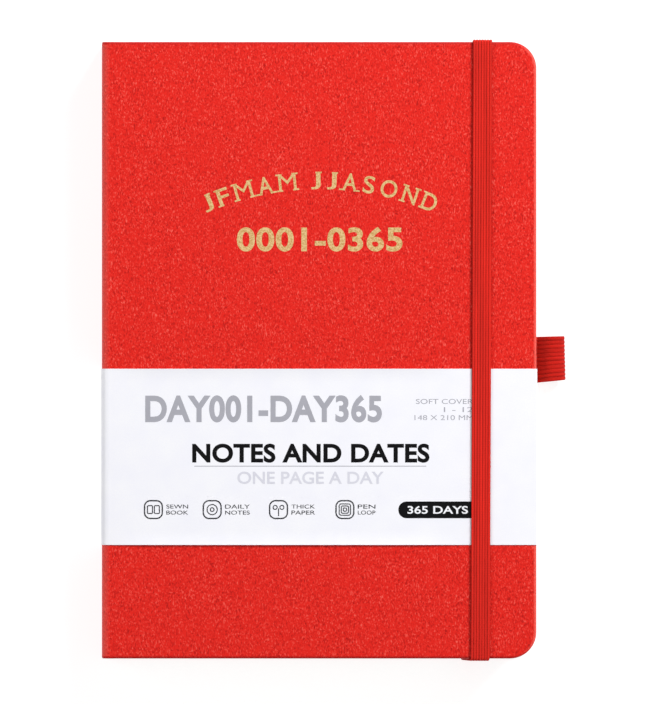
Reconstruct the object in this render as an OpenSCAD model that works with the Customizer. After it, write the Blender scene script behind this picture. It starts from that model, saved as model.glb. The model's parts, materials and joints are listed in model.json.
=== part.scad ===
// Soft-cover day planner with a sewn page block, elastic strap, pen loop and paper band.
// It lies shut on its back cover: X runs from the spine to the fore edge, Y from the
// foot to the head, Z from the back cover up to the front cover. Millimetres throughout.

/* [Cover] */
// Width of the closed cover, from the spine to the fore edge
cover_w = 148; // [120:1:176]
// Height of the closed cover, from foot to head
cover_h = 210; // [170:1:250]
// Radius of the two corners at the fore edge
corner_r = 9; // [7:0.5:11]
// Outer radius where the cover turns round the spine
spine_r = 2.5; // [2.2:0.1:3]
// Thickness of the soft skin
skin_t = 0.7; // [0.6:0.05:0.9]
// Thickness of the card inside each cover
board_t = 1; // [0.9:0.05:1.4]
// Thickness of the skin where it is turned in over the card
turn_in_t = 0.3; // [0.2:0.05:0.35]
// How far the skin is turned in
turn_in_w = 14; // [10:1:18]

/* [Pages] */
// Leaves in the whole block, shared by the ten sections
leaves = 200; // [160:10:240]
// Thickness of one leaf
leaf_t = 0.1; // [0.09:0.005:0.12]
// How far the leaves stand back from the cover's edges
page_inset = 2; // [1.5:0.5:3.5]
// Thickness of each endpaper
endpaper_t = 0.2; // [0.15:0.05:0.25]

/* [Strap] */
// Width of the elastic strap
strap_w = 6.5; // [5:0.5:8]
// Thickness of the elastic strap
strap_t = 0.7; // [0.6:0.05:0.8]
// From the fore edge to the middle of the strap
strap_in = 18.3; // [15:0.1:22]
// How far the strap drifts towards the spine as it goes round the foot
strap_skew = 3.9; // [0:0.1:5]
// From the head or foot to the slit where the strap goes through the back cover
slit_in = 10; // [8:1:14]

/* [Pen loop] */
// Width of the pen loop along the fore edge
loop_w = 15.7; // [12:0.1:19]
// How far the pen loop stands out from the fore edge
loop_reach = 9.8; // [9.4:0.1:11.8]
// Outer radius of the loop's round end
loop_r = 3.8; // [3.7:0.1:4.2]
// Thickness of the loop's elastic
loop_t = 0.8; // [0.6:0.05:0.9]
// Middle of the pen loop, from the middle of the cover
loop_y = -3.25; // [-6:0.25:0]

/* [Paper band] */
// Height of the paper band
band_h = 60; // [45:1:70]
// Middle of the paper band, from the middle of the cover
band_y = -36.3; // [-40:0.1:-34]
// Thickness of the band's paper
band_t = 0.2; // [0.15:0.05:0.25]
// Length of each flap tucked inside a cover
band_flap = 40; // [25:1:55]

/* [Hidden] */
$fn = 64;

// Air left between pieces of different bodies
gap = 0.1;
// Air beside a piece in its slot
slot_gap = 0.05;
// Extra length for a cutting shape
cut = 1;

// Layers of a cover, counted from its outer face
cover_t = skin_t + board_t + endpaper_t;
flap_room = band_t + 2 * gap;
leaf_z = cover_t + flap_room;
block_t = leaves * leaf_t;
sections = 10;
section_t = block_t / sections;
section_gap = 0.04;
flyleaf_t = 0.15;
book_t = 2 * (leaf_z + flyleaf_t) + block_t;
// Height of the back cover's outer face above the ground, which the band touches
base_z = band_t + gap;

// The book as a whole, from the band on the spine to the end of the pen loop
low_x = -band_t - gap;
high_x = cover_w + loop_reach;
mid_x = (low_x + high_x) / 2;

// Where the pieces beside the spine begin
joint_gap = 0.4;
skin_x = spine_r + joint_gap;
board_x = skin_x + 1.5;
fold_x = 2.8;
fly_x = fold_x + 0.1;
liner_t = 0.5;
mull_t = 0.2;
mull_x = 2;
mull_in = 13;
thread_r = 0.2;
thread_x = 2.5;
thread_in = 8;
bead_r = 0.7;
bead_x = 2.3;
tape_t = 0.15;
tape_x = 1.8;
tape_l = 9;
page_half = cover_h / 2 - page_inset;
cover_half = cover_h / 2;
page_r = corner_r - 1;
paste_in = 3;
skin_half = cover_half;

// The strap's runs and its anchors
strap_x = cover_w - strap_in;
foot_x = strap_x - strap_skew;
strap_y = cover_half + gap;
strap_z = book_t + 2 * gap + band_t + gap;
slit_y = cover_half - slit_in;
anchor_tab = 12;
anchor_top = skin_t + board_t;
leg_z = anchor_top + slot_gap;

// The pen loop's round end, its neck and the lines that touch both
tab_l = 12;
tab_z = skin_t;
tab_t = board_t - turn_in_t;
neck_r = 0.45;
neck_x = cover_w + 0.75;
neck_z = tab_z + tab_t / 2;
tab_end = cover_w + 0.2;
ring_x = high_x - loop_r;
ring_z = loop_r + 0.4 - base_z;
ring_dx = ring_x - neck_x;
ring_dz = ring_z - neck_z;
ring_d = sqrt(ring_dx * ring_dx + ring_dz * ring_dz);
ring_a = atan2(ring_dz, ring_dx);
ring_b = asin(loop_r / ring_d);

// The band's relief, where the pen loop leaves the back cover
relief_y = loop_y - loop_w / 2 - 1;
band_lo = band_y - band_h / 2;
band_hi = band_y + band_h / 2;

skin_red = [0.87, 0.18, 0.14];
elastic_red = [0.76, 0.12, 0.09];
loop_red = [0.68, 0.09, 0.06];
card_grey = [0.55, 0.52, 0.47];
paper_white = [0.95, 0.94, 0.9];
end_cream = [0.93, 0.9, 0.82];
gauze = [0.85, 0.82, 0.74];
bead_red = [0.8, 0.2, 0.18];
thread_white = [0.96, 0.96, 0.94];
band_white = [0.97, 0.97, 0.99];

// Puts a piece drawn from the back cover's outer face into the shared frame
module place() {
  translate([-mid_x, 0, base_z]) children();
}

// Turns a piece of the back half into its twin in the front half
module front_half() {
  translate([0, 0, book_t]) mirror([0, 0, 1]) children();
}

// A sheet's outline: square towards the spine, round at the fore edge
module sheet_plan(x0, x1, half, r) {
  translate([x0, -half]) square([x1 - r - x0, 2 * half]);
  translate([x0, r - half]) square([x1 - x0, 2 * (half - r)]);
  for (s = [-1, 1]) translate([x1 - r, s * (half - r)]) circle(r = r);
}

module sheet(x0, x1, half, r, z, t) {
  translate([0, 0, z]) linear_extrude(height = t) sheet_plan(x0, x1, half, r);
}

// Draws a profile in X and Z, and runs it along Y
module along_y(y0, y1) {
  translate([0, y1, 0]) rotate([90, 0, 0]) linear_extrude(height = y1 - y0) children();
}

// Draws a profile in Y and Z, and runs it along X
module along_x(x0, x1) {
  translate([x0, 0, 0]) rotate([90, 0, 90]) linear_extrude(height = x1 - x0) children();
}

// A block whose two corners towards the spine are round
module spine_plan(out, x1) {
  r = spine_r + out;
  translate([spine_r, -out]) square([x1 - spine_r, book_t + 2 * out]);
  translate([-out, spine_r]) square([x1 + out, book_t - 2 * spine_r]);
  for (z = [spine_r, book_t - spine_r]) translate([spine_r, z]) circle(r = r);
}

// A thin wall that follows the spine at the stated distances outside the cover
module spine_wall(inner, outer) {
  difference() {
    intersection() {
      spine_plan(outer, spine_r + cut);
      translate([-outer, -outer]) square([spine_r + outer, book_t + 2 * outer]);
    }
    spine_plan(inner, spine_r + 2 * cut);
  }
}

// The room that a strap's anchor takes in the back cover
module anchor_room(x) {
  w = strap_w / 2 + slot_gap;
  translate([x - w, slit_y - strap_t / 2 - slot_gap, -cut])
    cube([2 * w, slit_in + strap_t / 2 + slot_gap + cut, strap_t + cut + slot_gap]);
  translate([x - w, slit_y - strap_t / 2 - slot_gap, -cut])
    cube([2 * w, strap_t + 2 * slot_gap, anchor_top + 2 * cut]);
  translate([x - w, slit_y - anchor_tab - slot_gap, anchor_top - strap_t - slot_gap])
    cube([2 * w, anchor_tab + 2 * slot_gap, strap_t + slot_gap + cut]);
}

module anchor_rooms() {
  anchor_room(strap_x);
  mirror([0, 1, 0]) anchor_room(foot_x);
}

// The room that the pen loop's tab takes in the back cover
module tab_room() {
  translate([cover_w - tab_l - slot_gap, loop_y - loop_w / 2 - slot_gap, tab_z])
    cube([tab_l + slot_gap + cut, loop_w + 2 * slot_gap, tab_t]);
}

// Skin over the card's outer face, round its three free edges and turned in over it
module cover_skin() {
  difference() {
    sheet(skin_x, cover_w, skin_half, corner_r, 0, skin_t + board_t);
    sheet(skin_x - cut, cover_w - skin_t, skin_half - skin_t, corner_r - skin_t,
      skin_t, board_t - turn_in_t);
    translate([skin_x - cut, turn_in_w - skin_half, skin_t])
      cube([cover_w - turn_in_w - skin_x + cut, 2 * (skin_half - turn_in_w), board_t + cut]);
    translate([skin_x - cut, -skin_half - cut, skin_t])
      cube([board_x - skin_x + cut, cover_h + 2 * cut, board_t + cut]);
  }
}

module cover_board() {
  sheet(board_x, cover_w - skin_t, skin_half - skin_t, corner_r - skin_t,
    skin_t, board_t - turn_in_t);
  translate([board_x, turn_in_w - skin_half, skin_t])
    cube([cover_w - turn_in_w - board_x, 2 * (skin_half - turn_in_w), board_t]);
}

module pastedown() {
  sheet(board_x, cover_w - paste_in, cover_half - paste_in, corner_r - paste_in,
    skin_t + board_t, endpaper_t);
}

module flyleaf() {
  sheet(fly_x, cover_w - page_inset, page_half, page_r, leaf_z, flyleaf_t);
}

// One sewn section: its leaves end in a round fold towards the spine
module section_block(n) {
  t = section_t - section_gap;
  z = leaf_z + flyleaf_t + (sections - n) * section_t + section_gap / 2;
  intersection() {
    sheet(fold_x, cover_w - page_inset, page_half, page_r, z, t);
    along_y(-cover_half, cover_half) {
      translate([fold_x + t / 2, z]) square([cover_w, t]);
      translate([fold_x + t / 2, z + t / 2]) circle(r = t / 2);
    }
  }
}

module front_skin() color(skin_red) place() front_half() cover_skin();
module front_board() color(card_grey) place() front_half() cover_board();
module front_pastedown() color(end_cream) place() front_half() pastedown();
module front_flyleaf() color(end_cream) place() front_half() flyleaf();
module back_pastedown() color(end_cream) place() pastedown();
module back_flyleaf() color(end_cream) place() flyleaf();

module back_skin() {
  color(skin_red) place() difference() {
    cover_skin();
    anchor_rooms();
    tab_room();
  }
}

module back_board() {
  color(card_grey) place() difference() {
    cover_board();
    anchor_rooms();
    tab_room();
  }
}

module spine_skin() {
  color(skin_red) place() along_y(-cover_half, cover_half) spine_wall(-skin_t, 0);
}

module spine_liner() {
  color(card_grey) place() translate([skin_t, page_inset - cover_half, spine_r])
    cube([liner_t, 2 * page_half, book_t - 2 * spine_r]);
}

module mull() {
  color(gauze) place() translate([mull_x, mull_in - cover_half, leaf_z + flyleaf_t])
    cube([mull_t, 2 * (cover_half - mull_in), block_t]);
}

// A cloth roll over the end of the folds, on a tape glued to their backs
module end_bead() {
  translate([0, 0, leaf_z + flyleaf_t]) {
    translate([bead_x, page_half + bead_r + slot_gap, 0]) cylinder(h = block_t, r = bead_r);
    translate([tape_x, page_half - tape_l, 0])
      cube([tape_t, tape_l + bead_r + slot_gap, block_t]);
  }
}

module headband() color(bead_red) place() end_bead();
module tailband() color(bead_red) place() mirror([0, 1, 0]) end_bead();

// One thread that goes up and down across the folds at six places
module sewing_thread() {
  n = 6;
  step = 2 * (page_half - thread_in) / (n - 1);
  z0 = leaf_z + flyleaf_t + thread_r;
  z1 = leaf_z + flyleaf_t + block_t - thread_r;
  color(thread_white) place() for (k = [0 : n - 1]) {
    y = thread_in - page_half + k * step;
    translate([thread_x, y, z0]) cylinder(h = z1 - z0, r = thread_r);
    for (z = [z0, z1]) translate([thread_x, y, z]) sphere(r = thread_r);
    if (k < n - 1) translate([thread_x, y, k % 2 == 0 ? z1 : z0])
      rotate([-90, 0, 0]) cylinder(h = step, r = thread_r);
  }
}

module paper_section(n) color(paper_white) place() section_block(n);

module signature_01() paper_section(1);
module signature_02() paper_section(2);
module signature_03() paper_section(3);
module signature_04() paper_section(4);
module signature_05() paper_section(5);
module signature_06() paper_section(6);
module signature_07() paper_section(7);
module signature_08() paper_section(8);
module signature_09() paper_section(9);
module signature_10() paper_section(10);

// Half of the strap's path in Y and Z: over the front, then down past the edge
module strap_bend() {
  translate([0, strap_z]) square([strap_y, strap_t]);
  intersection() {
    translate([strap_y, strap_z]) circle(r = strap_t);
    translate([strap_y, strap_z]) square([strap_t, strap_t]);
  }
}

module strap_loop() {
  color(elastic_red) place() {
    for (s = [0, 1]) mirror([0, s, 0])
      along_x(strap_x - strap_w / 2, strap_x + strap_w / 2) strap_bend();
    translate([strap_x - strap_w / 2, strap_y, leg_z])
      cube([strap_w, strap_t, strap_z - leg_z]);
    along_y(-strap_y - strap_t, -strap_y) polygon([
      [foot_x - strap_w / 2, leg_z], [foot_x + strap_w / 2, leg_z],
      [strap_x + strap_w / 2, strap_z], [strap_x - strap_w / 2, strap_z]
    ]);
  }
}

// The strap's fixed end: a run in the soft skin, a slit through the card, a glued tab
module anchor_profile() {
  translate([slit_y - strap_t / 2, 0]) square([strap_y - slit_y + strap_t / 2, strap_t]);
  translate([slit_y - strap_t / 2, 0]) square([strap_t, anchor_top]);
  translate([slit_y - anchor_tab, anchor_top - strap_t])
    square([anchor_tab + strap_t / 2, strap_t]);
  intersection() {
    translate([strap_y, strap_t]) circle(r = strap_t);
    translate([strap_y, 0]) square([strap_t, strap_t]);
  }
  translate([strap_y, strap_t]) square([strap_t, anchor_top - strap_t]);
}

module anchor(x) along_x(x - strap_w / 2, x + strap_w / 2) anchor_profile();
module strap_anchor_head() color(elastic_red) place() anchor(strap_x);
module strap_anchor_foot() color(elastic_red) place() mirror([0, 1, 0]) anchor(foot_x);

// A drop shape: a circle with the two lines that touch it from a point
module drop(px, pz, d, r) {
  l = sqrt(d * d - r * r);
  translate([ring_x, ring_z]) circle(r = r);
  polygon([
    [px, pz],
    [px + l * cos(ring_a - ring_b), pz + l * sin(ring_a - ring_b)],
    [ring_x, ring_z],
    [px + l * cos(ring_a + ring_b), pz + l * sin(ring_a + ring_b)]
  ]);
}

module pen_loop() {
  shift = loop_t / sin(ring_b);
  color(loop_red) place() along_y(loop_y - loop_w / 2, loop_y + loop_w / 2) {
    difference() {
      drop(neck_x, neck_z, ring_d, loop_r);
      drop(neck_x + shift * cos(ring_a), neck_z + shift * sin(ring_a),
        ring_d - shift, loop_r - loop_t);
    }
    translate([neck_x, neck_z]) circle(r = neck_r);
  }
}

module pen_loop_tab() {
  color(loop_red) place()
    translate([cover_w - tab_l, loop_y - loop_w / 2, tab_z])
      cube([tab_end - cover_w + tab_l, loop_w, tab_t]);
}

// The band over one cover, round its fore edge and tucked in behind it
module band_profile() {
  out = gap + band_t;
  translate([skin_x, -out]) square([cover_w + out - skin_x, band_t]);
  translate([cover_w + gap, -out]) square([band_t, cover_t + gap + band_t + out]);
  translate([cover_w - band_flap, cover_t + gap]) square([band_flap + out, band_t]);
}

module band_front() {
  color(band_white) place() front_half() along_y(band_lo, band_hi) band_profile();
}

module band_spine() {
  color(band_white) place() along_y(band_lo, band_hi) spine_wall(gap, gap + band_t);
}

module band_back() {
  color(band_white) place() difference() {
    along_y(band_lo, band_hi) band_profile();
    translate([cover_w - band_flap - cut, relief_y, -gap])
      cube([band_flap + 3 * cut, band_hi - relief_y + cut, cover_t + 3 * cut]);
    translate([cover_w, relief_y, -gap - band_t - cut])
      cube([2 * cut, band_hi - relief_y + cut, cover_t + 3 * cut]);
  }
}

front_skin();
front_board();
front_pastedown();
front_flyleaf();
back_skin();
back_board();
back_pastedown();
back_flyleaf();
spine_skin();
spine_liner();
mull();
headband();
tailband();
sewing_thread();
signature_01();
signature_02();
signature_03();
signature_04();
signature_05();
signature_06();
signature_07();
signature_08();
signature_09();
signature_10();
strap_loop();
strap_anchor_head();
strap_anchor_foot();
pen_loop();
pen_loop_tab();
band_front();
band_spine();
band_back();
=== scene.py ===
"""Looks of a soft-cover day planner with a strap, a pen loop and a paper band.

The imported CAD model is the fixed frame: the planner lies shut on its back cover, X runs
from the spine to the fore edge, Y from the foot to the head, Z from the back cover up.
Each sub-assembly is a class that reads its places from the frame, shapes its meshes in a
flat form, bends them along their tracks, and dresses them in a finish.
"""

import json
import logging
import math
import random
from collections.abc import Callable, Iterable, Sequence
from dataclasses import dataclass, field
from enum import Enum

import bmesh
import bpy
from mathutils import Matrix, Vector


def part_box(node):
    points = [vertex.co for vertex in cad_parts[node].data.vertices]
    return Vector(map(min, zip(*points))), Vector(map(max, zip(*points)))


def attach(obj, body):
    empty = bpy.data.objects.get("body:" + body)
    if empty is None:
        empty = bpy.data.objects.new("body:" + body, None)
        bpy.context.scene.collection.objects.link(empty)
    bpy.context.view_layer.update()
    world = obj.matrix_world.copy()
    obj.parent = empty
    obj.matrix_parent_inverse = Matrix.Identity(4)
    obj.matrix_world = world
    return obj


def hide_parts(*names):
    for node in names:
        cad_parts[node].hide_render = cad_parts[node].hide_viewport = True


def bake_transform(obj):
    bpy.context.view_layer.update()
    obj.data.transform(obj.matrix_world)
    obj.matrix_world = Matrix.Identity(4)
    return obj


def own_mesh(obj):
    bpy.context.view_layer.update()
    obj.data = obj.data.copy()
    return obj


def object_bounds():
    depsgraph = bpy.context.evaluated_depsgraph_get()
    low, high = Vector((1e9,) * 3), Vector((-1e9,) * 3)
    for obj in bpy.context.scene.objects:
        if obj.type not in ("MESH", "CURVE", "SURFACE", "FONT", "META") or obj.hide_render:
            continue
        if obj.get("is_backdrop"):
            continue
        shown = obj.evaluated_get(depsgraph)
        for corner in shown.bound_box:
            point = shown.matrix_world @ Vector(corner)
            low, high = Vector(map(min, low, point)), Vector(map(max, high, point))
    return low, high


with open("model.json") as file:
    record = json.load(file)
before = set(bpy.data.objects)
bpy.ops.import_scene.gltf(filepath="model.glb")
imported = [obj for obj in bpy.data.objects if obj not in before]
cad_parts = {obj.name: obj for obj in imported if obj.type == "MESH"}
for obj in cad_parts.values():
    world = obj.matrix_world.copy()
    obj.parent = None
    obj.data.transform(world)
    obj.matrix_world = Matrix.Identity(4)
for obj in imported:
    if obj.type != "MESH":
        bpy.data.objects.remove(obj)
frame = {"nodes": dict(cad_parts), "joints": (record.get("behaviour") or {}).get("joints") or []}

LOG = logging.getLogger("planner")
MM = 0.001
# Lengths and angles below this are none, and points nearer than this are one.
SAME = 1e-7
# Edges that turn by more than this stay crisp.
CRISP = math.radians(50)
# Strips in a round corner of a flat form.
CORNER_STRIPS = 14
# The attributes of a piece's points that its finish reads.
PLACE = "place"
# A float attribute of the skin: above 0 it paints a highlight on the edges, below 0 it paints
# shade.
EDGE_LIGHT_ATTRIBUTE = "rim"
# How a broad noise becomes slightly stronger and slightly weaker patches.
UNEVEN = {"From Min": 0.35, "From Max": 0.65, "To Min": 0.84, "To Max": 1.1}
RANDOM = random.Random(7)


class Side(Enum):
    """The half of the planner that a piece belongs to."""

    FRONT = "front"
    BACK = "back"


class Facing(Enum):
    """The way that a printed mark faces while the planner is shut."""

    UP = "up"
    DOWN = "down"


# ---------------------------------------------------------------- places from the frame


def joint(name: str) -> dict:
    """Returns the frame's joint of that name."""
    return next(j for j in frame["joints"] if j["name"] == name)


@dataclass(frozen=True)
class Layout:
    """Where the CAD puts the planner, in metres.

    The cover's outer faces, the radius of its two spine corners and the layers that
    every sub-assembly shares.
    """

    spine_x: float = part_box("spine_skin")[0].x
    fore_x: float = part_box("front_skin")[1].x
    head_y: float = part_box("front_skin")[1].y
    back_z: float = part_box("back_skin")[0].z
    front_z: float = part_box("front_skin")[1].z
    corner_r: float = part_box("spine_skin")[1].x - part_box("spine_skin")[0].x
    board_x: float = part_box("front_board")[0].x
    fore_corner: float = 9 * MM
    skin_t: float = 0.7 * MM
    cover_t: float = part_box("back_skin")[1].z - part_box("back_skin")[0].z

    @property
    def mid_z(self) -> float:
        """Height of the plane half way between the covers."""
        return (self.back_z + self.front_z) / 2

    def corner(self, side: Side) -> tuple[Vector, Vector]:
        """Finds where one cover's round corner at the spine begins and ends.

        Args:
            side: The cover.

        Returns:
            A point on the cover's side of the corner and one on the spine's side.
        """
        back = side is Side.BACK
        z = self.back_z + self.corner_r if back else self.front_z - self.corner_r
        middle = Vector((self.spine_x + self.corner_r, 0, z))
        turn = Vector((-1, 0, 1 if back else -1)).normalized() * self.corner_r
        return middle - turn, middle + turn


# ---------------------------------------------------------------- shaping tools


@dataclass(frozen=True)
class Track:
    """A path of straights and arcs in a plane, which a flat strip is bent to follow.

    Each leg is a length and the angle it turns through, counted anticlockwise.
    """

    start: tuple[float, float]
    heading: float
    legs: tuple[tuple[float, float], ...]

    @classmethod
    def through(cls, points: Sequence[tuple[float, float]], radii: Sequence[float]) -> "Track":
        """Rounds the inner corners of a line of points.

        Args:
            points: The line's points, in order.
            radii: One radius for each inner point.

        Returns:
            The track from the first point to the last.
        """
        spots = [Vector(p) for p in points]
        runs = [b - a for a, b in zip(spots, spots[1:])]
        angles = [math.atan2(r.y, r.x) for r in runs]
        legs: list[tuple[float, float]] = []
        used = 0.0
        for i, radius in enumerate(radii):
            turn = (angles[i + 1] - angles[i] + math.pi) % math.tau - math.pi
            trim = radius * math.tan(abs(turn) / 2)
            legs.append((max(runs[i].length - used - trim, 0.0), 0.0))
            legs.append((radius * abs(turn), turn))
            used = trim
        legs.append((max(runs[-1].length - used, 0.0), 0.0))
        return cls(tuple(points[0]), angles[0], tuple(legs))

    @property
    def length(self) -> float:
        """Length of the whole track."""
        return sum(length for length, _ in self.legs)

    def at(self, s: float) -> tuple[float, float, float]:
        """Returns the place and heading at a distance along the track.

        Args:
            s: Distance from the start. Outside the track it runs on straight.

        Returns:
            The two coordinates and the heading in radians.
        """
        (a, b), heading, rest = self.start, self.heading, s
        for i, (length, turn) in enumerate(self.legs):
            last = i == len(self.legs) - 1
            step = rest if last or rest < length else length
            if abs(turn) > SAME and length > 0:
                part = turn * step / length
                radius = length / turn
                a += radius * (math.sin(heading + part) - math.sin(heading))
                b -= radius * (math.cos(heading + part) - math.cos(heading))
                heading += part
            else:
                a += step * math.cos(heading)
                b += step * math.sin(heading)
            rest -= step
            if rest <= 0:
                break
        return a, b, heading

    def bend(self, s: float, h: float) -> tuple[float, float]:
        """Returns the point at a distance along the track and a height to its left."""
        a, b, heading = self.at(s)
        return a - h * math.sin(heading), b + h * math.cos(heading)

    def stations(self, step: float = math.radians(10)) -> list[float]:
        """Finds where a strip needs a cut to bend smoothly.

        Args:
            step: The most that the strip turns between two cuts.

        Returns:
            The cuts' distances along the track.
        """
        found, s = [], 0.0
        for length, turn in self.legs:
            if abs(turn) > SAME:
                count = max(2, math.ceil(abs(turn) / step))
                found += [s + length * k / count for k in range(count + 1)]
            s += length
        return found


def clamp(value: float) -> float:
    """Returns a number held between 0 and 1."""
    return min(max(value, 0.0), 1.0)


def spread(low: float, high: float, count: int) -> list[float]:
    """Returns evenly spaced numbers from low to high, both included."""
    return [low + (high - low) * k / (count - 1) for k in range(count)]


def cut(bm: bmesh.types.BMesh, axis: int, stations: Iterable[float]) -> None:
    """Cuts a mesh with planes square to an axis.

    Args:
        bm: The mesh.
        axis: 0 for X, 1 for Y, 2 for Z.
        stations: Where the planes stand on that axis.
    """
    normal = Vector((0, 0, 0))
    normal[axis] = 1
    for station in stations:
        whole = bm.verts[:] + bm.edges[:] + bm.faces[:]
        bmesh.ops.bisect_plane(
            bm, geom=whole, plane_co=normal * station, plane_no=normal, dist=10 * SAME
        )


def round_off(bm: bmesh.types.BMesh, geom: list, radius: float, strips: int) -> None:
    """Bevels edges, or the corners of a flat face.

    Args:
        bm: The mesh.
        geom: Its edges, or its corner points.
        radius: Width of the bevel.
        strips: How many strips it has.
    """
    edges = isinstance(geom[0], bmesh.types.BMEdge)
    bmesh.ops.bevel(
        bm,
        geom=geom,
        offset=radius,
        segments=strips,
        profile=0.5,
        affect="EDGES" if edges else "VERTICES",
        material=-1,
        clamp_overlap=edges,
    )


def outline(
    low: tuple[float, float], high: tuple[float, float], radius: float = 0.0
) -> bmesh.types.BMesh:
    """Makes a flat oblong.

    Args:
        low: Its low corner.
        high: Its high corner.
        radius: Radius of the two corners at high X, where 0 leaves them sharp.

    Returns:
        The oblong, one face at height 0.
    """
    bm = bmesh.new()
    spots = ((low[0], low[1]), (high[0], low[1]), high, (low[0], high[1]))
    corners = [bm.verts.new((x, y, 0)) for x, y in spots]
    bm.faces.new(corners)
    if radius:
        round_off(bm, corners[1:3], radius, CORNER_STRIPS)
    return bm


def turn_out(bm: bmesh.types.BMesh) -> None:
    """Turns a closed shape's faces outwards."""
    bmesh.ops.recalc_face_normals(bm, faces=bm.faces[:])


def thicken(bm: bmesh.types.BMesh, depth: float) -> None:
    """Pulls a flat sheet at height 0 down into a closed plate.

    Args:
        bm: The sheet.
        depth: The plate's thickness.
    """
    made = bmesh.ops.extrude_face_region(bm, geom=bm.faces[:])
    fresh = [g for g in made["geom"] if isinstance(g, bmesh.types.BMVert)]
    bmesh.ops.translate(bm, verts=fresh, vec=(0, 0, -depth))
    turn_out(bm)


def rim_edges(bm: bmesh.types.BMesh, keep: Callable[[Vector], bool]) -> list[bmesh.types.BMEdge]:
    """Finds the sharp edges round a plate's two faces.

    Args:
        bm: The plate.
        keep: Test that an edge's middle has to pass.

    Returns:
        The edges.
    """
    found = []
    for e in bm.edges:
        a, b = (v.co for v in e.verts)
        sharp = len(e.link_faces) == 2 and e.calc_face_angle(0) > CRISP
        if sharp and abs(a.z - b.z) < SAME and keep((a + b) / 2):
            found.append(e)
    return found


def soften(
    bm: bmesh.types.BMesh, edges: list[bmesh.types.BMEdge], radius: float, strips: int = 4
) -> None:
    """Rounds edges, then insets the broad faces so that their shading stays flat.

    Args:
        bm: The plate.
        edges: The edges to round.
        radius: Radius of the rounding.
        strips: How many strips it has.
    """
    round_off(bm, edges, radius, strips)
    biggest = max(f.calc_area() for f in bm.faces)
    broad = [f for f in bm.faces if f.calc_area() > biggest / 2]
    bmesh.ops.inset_region(bm, faces=broad, thickness=radius / 2, use_even_offset=True)


def place_flat(bm: bmesh.types.BMesh, shift: float = 0.0) -> None:
    """Keeps each point's flat place, which the patterns of a bent piece follow.

    Args:
        bm: The piece, before it is bent.
        shift: Moves the pattern along X, so that two alike pieces differ.
    """
    layer = bm.verts.layers.float_vector.new(PLACE)
    for v in bm.verts:
        v[layer] = v.co + Vector((shift, 0, 0))


def bend_strip(
    bm: bmesh.types.BMesh, move: Callable[[Vector], Vector], turned: bool = False
) -> None:
    """Moves a flat form's points to their places, with its faces still outwards.

    Args:
        bm: The flat form.
        move: Gives a point's place.
        turned: Whether those places are a mirror image of the flat form.
    """
    for v in bm.verts:
        v.co = move(v.co.copy())
    if turned:
        bmesh.ops.reverse_faces(bm, faces=bm.faces[:])


def ribbon(
    length: float, width: float, thick: float, ribs: int, depth: float, cuts: Iterable[float]
) -> bmesh.types.BMesh:
    """Makes a flat strip of ribbed elastic.

    Args:
        length: Length along X, from 0.
        width: Width along Y, centred.
        thick: Thickness, from 0 down.
        ribs: Number of cords across the width.
        depth: Depth of the grooves between the cords.
        cuts: Distances where the strip is cut to bend.

    Returns:
        The closed strip, with its flat places kept.
    """
    along, per_rib = 8, 6
    bm = bmesh.new()
    bmesh.ops.create_grid(bm, x_segments=along, y_segments=ribs * per_rib, size=0.5)
    bmesh.ops.scale(bm, verts=bm.verts[:], vec=(length, width, 1))
    bmesh.ops.translate(bm, verts=bm.verts[:], vec=(length / 2, 0, 0))
    cut(bm, 0, cuts)
    thicken(bm, thick)
    for v in bm.verts:
        wave = abs(math.sin(math.pi * ribs * (v.co.y / width + 0.5)))
        groove = depth * (1 - math.sqrt(wave))
        v.co.z += -groove if v.co.z > -thick / 2 else groove
    place_flat(bm)
    return bm


def settle(
    name: str, bm: bmesh.types.BMesh, finishes: Sequence[bpy.types.Material]
) -> bpy.types.Object:
    """Turns a finished bmesh into a dressed object at the origin.

    Args:
        name: The piece's name.
        bm: The shaped mesh, which is freed.
        finishes: Materials for the mesh's material numbers.

    Returns:
        The object, linked to the scene.
    """
    mesh = bpy.data.meshes.new(name)
    bm.to_mesh(mesh)
    bm.free()
    for finish in finishes:
        mesh.materials.append(finish)
    mesh.shade_smooth()
    mesh.set_sharp_from_angle(angle=CRISP)
    obj = bpy.data.objects.new(name, mesh)
    bpy.context.scene.collection.objects.link(obj)
    return obj


# ---------------------------------------------------------------- finishes


def linear(code: str) -> tuple[float, float, float, float]:
    """Turns an sRGB colour such as "e5322a" into the linear one that shaders take.

    Args:
        code: Red, green and blue as hex digits.

    Returns:
        The colour, opaque.
    """
    parts = [int(code[i : i + 2], 16) / 255 for i in (0, 2, 4)]
    red, green, blue = (
        p / 12.92 if p <= 0.04045 else ((p + 0.055) / 1.055) ** 2.4 for p in parts
    )
    return red, green, blue, 1.0


def add(
    tree: bpy.types.NodeTree, kind: str, inputs: dict | None = None, **settings: object
) -> bpy.types.Node:
    """Adds a shader node with its settings and links.

    Args:
        tree: The material's node tree.
        kind: The node's type, without its ShaderNode prefix.
        inputs: For each socket's name or number, a number, an sRGB hex colour, another
            node's socket, or a node, which gives the first of its outputs in use.
        **settings: The node's own properties.

    Returns:
        The new node.
    """
    node = tree.nodes.new("ShaderNode" + kind)
    for name, value in settings.items():
        setattr(node, name, value)
    for name, value in (inputs or {}).items():
        if isinstance(value, bpy.types.Node):
            value = next(output for output in value.outputs if output.enabled)
        if isinstance(value, bpy.types.NodeSocket):
            tree.links.new(value, node.inputs[name])
        else:
            node.inputs[name].default_value = linear(value) if isinstance(value, str) else value
    return node


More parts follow.
